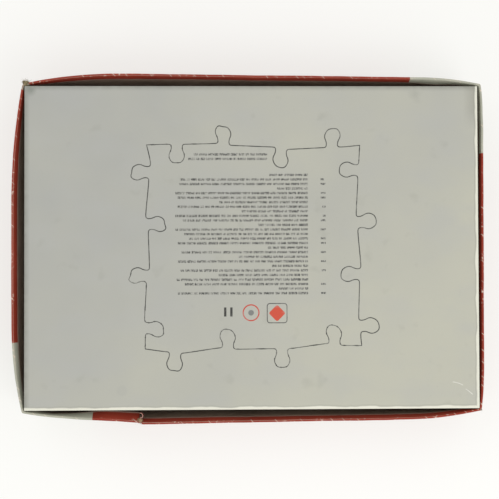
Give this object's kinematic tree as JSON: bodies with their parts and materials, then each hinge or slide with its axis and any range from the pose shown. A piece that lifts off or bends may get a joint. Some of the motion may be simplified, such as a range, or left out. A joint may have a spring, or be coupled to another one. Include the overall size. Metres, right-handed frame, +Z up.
{
  "type": "boxed jigsaw puzzle",
  "caption": "Boxed jigsaw puzzle lying face down: a worn tray pushed into a lid whose walls have bowed out, with a sealed bag of loose die-cut pieces inside",
  "frame": {"origin": "On the surface that the box lies on, under the middle of the whole box, bowed lid walls included", "axes": "+X along the long side of the box, to the right as its base is seen from above; +Y to the back; +Z up, out of the tray's plain base. The box lies face down, so the lid's picture face looks down -Z"},
  "size_m": [0.3864, 0.2866, 0.056],
  "materials": {
    "greyboard": "matte",
    "corner_tape": "matte",
    "picture_paper": "satin",
    "lid_paper": "satin",
    "tray_paper": "matte",
    "clear_film": "gloss",
    "picture_board": "satin"
  },
  "bodies": {
    "lid": {"lid_board": "greyboard", "lid_corner_stays": "corner_tape", "lid_face_sheet": "picture_paper", "lid_side_wrap": "lid_paper"},
    "tray": {"tray_board": "greyboard", "tray_corner_stays": "corner_tape", "tray_wrap": "tray_paper"},
    "bag": {"piece_bag": "clear_film", "corner_pieces": "picture_board", "edge_pieces": "picture_board", "inner_pieces_layer_1": "picture_board", "inner_pieces_layer_2": "picture_board", "inner_pieces_layer_3": "picture_board", "inner_pieces_layer_4": "picture_board", "inner_pieces_layer_5": "picture_board", "inner_pieces_layer_6": "picture_board", "inner_pieces_layer_7": "picture_board"}
  },
  "joints": [
    {"name": "tray_lift", "type": "slide", "parent": "lid", "child": "tray", "axis": [0, 0, 1], "range_m": [0, 0.15]},
    {"name": "bag_lift", "type": "slide", "parent": "lid", "child": "bag", "axis": [0, 0, 1], "range_m": [0, 0.0675]}
  ],
  "couplings": [
    {"joint": "bag_lift", "follows": "tray_lift", "ratio": 0.45}
  ]
}
